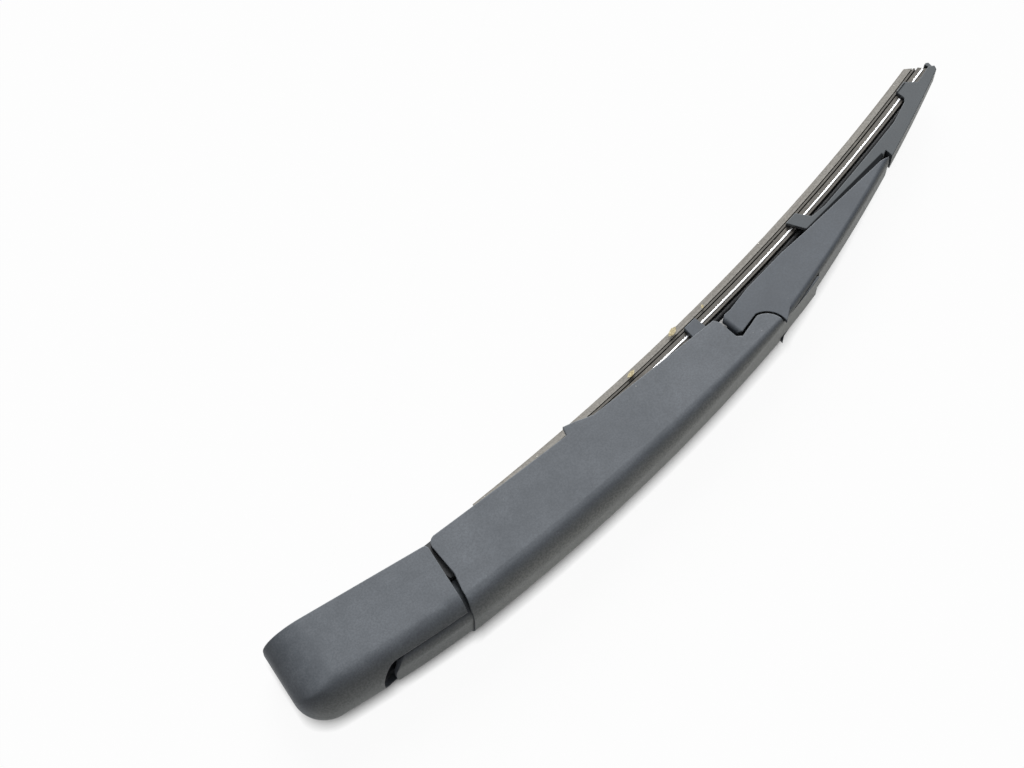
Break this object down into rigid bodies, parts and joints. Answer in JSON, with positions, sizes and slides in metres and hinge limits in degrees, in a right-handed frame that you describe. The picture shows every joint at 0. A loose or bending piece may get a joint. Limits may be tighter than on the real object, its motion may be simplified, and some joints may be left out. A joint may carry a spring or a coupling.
{
  "type": "rear wiper arm with blade",
  "caption": "Curved rear window wiper arm with a hinged head cover, spring, rocking blade levers and a bowed rubber blade.",
  "frame": {"origin": "on the spindle axis at the mouth of the head, at the middle of the arm's width", "axes": "+X from the spindle to the blade's tip, +Y along the spindle towards the glass, +Z across the arm; the part lies on its side as pictured"},
  "size_m": [0.4131, 0.1316, 0.026],
  "materials": {
    "faded_plastic": "faded matt dark blue-grey moulded plastic, paler low on the outer face",
    "rubber": "weathered brown-grey rubber",
    "strip_steel": "bright stainless spring strip",
    "cast_head": "black painted die casting",
    "pin_steel": "plain turned steel",
    "bush_plastic": "plain natural plastic",
    "link_steel": "dull pressed steel",
    "spring_steel": "dull spring wire"
  },
  "bodies": {
    "head": {"mounting_head": "cast_head", "hinge_pin": "pin_steel", "spring_link_pin": "pin_steel"},
    "cover": {"head_cover": "faded_plastic"},
    "arm": {"arm_body": "faded_plastic", "hinge_bush_upper": "bush_plastic", "hinge_bush_lower": "bush_plastic", "spring_anchor_pin": "pin_steel", "blade_pivot_pin": "pin_steel", "tension_spring": "spring_steel"},
    "link": {"spring_link": "link_steel"},
    "blade": {"primary_lever": "faded_plastic", "pivot_insert": "bush_plastic", "far_lever_pin": "pin_steel", "near_lever_pin": "pin_steel", "wiper_rubber": "rubber", "backing_strip_upper": "strip_steel", "backing_strip_lower": "strip_steel"},
    "far_lever": {"far_lever": "faded_plastic"},
    "near_lever": {"near_lever": "faded_plastic"}
  },
  "joints": [
    {"name": "cover_hinge", "type": "hinge", "parent": "head", "child": "cover", "pos_m": [0.028, -0.025, 0], "axis": [0, 0, 1], "range_deg": [0, 60]},
    {"name": "arm_hinge", "type": "hinge", "parent": "head", "child": "arm", "pos_m": [0.028, -0.025, 0], "axis": [0, 0, 1], "range_deg": [-50, 0], "stiffness_Nm_per_rad": 0.6, "springref_deg": 51.57, "deforming": ["tension_spring"]},
    {"name": "link_pivot", "type": "hinge", "parent": "head", "child": "link", "pos_m": [0.036, -0.017, 0], "axis": [0, 0, 1], "range_deg": [-53, 0]},
    {"name": "blade_pivot", "type": "hinge", "parent": "arm", "child": "blade", "pos_m": [0.2365, 0.01171, 0], "axis": [0, 0, 1], "range_deg": [-1, 3]},
    {"name": "far_lever_pivot", "type": "hinge", "parent": "blade", "child": "far_lever", "pos_m": [0.31365, 0.04448, 0], "axis": [0, 0, 1], "range_deg": [-3, 3], "deforming": ["wiper_rubber", "backing_strip_upper", "backing_strip_lower"]},
    {"name": "near_lever_pivot", "type": "hinge", "parent": "blade", "child": "near_lever", "pos_m": [0.16671, 0.00354, 0], "axis": [0, 0, 1], "range_deg": [-3, 3], "deforming": ["wiper_rubber", "backing_strip_upper", "backing_strip_lower"]}
  ],
  "couplings": [
    {"joint": "link_pivot", "follows": "arm_hinge", "ratio": 1.04}
  ]
}
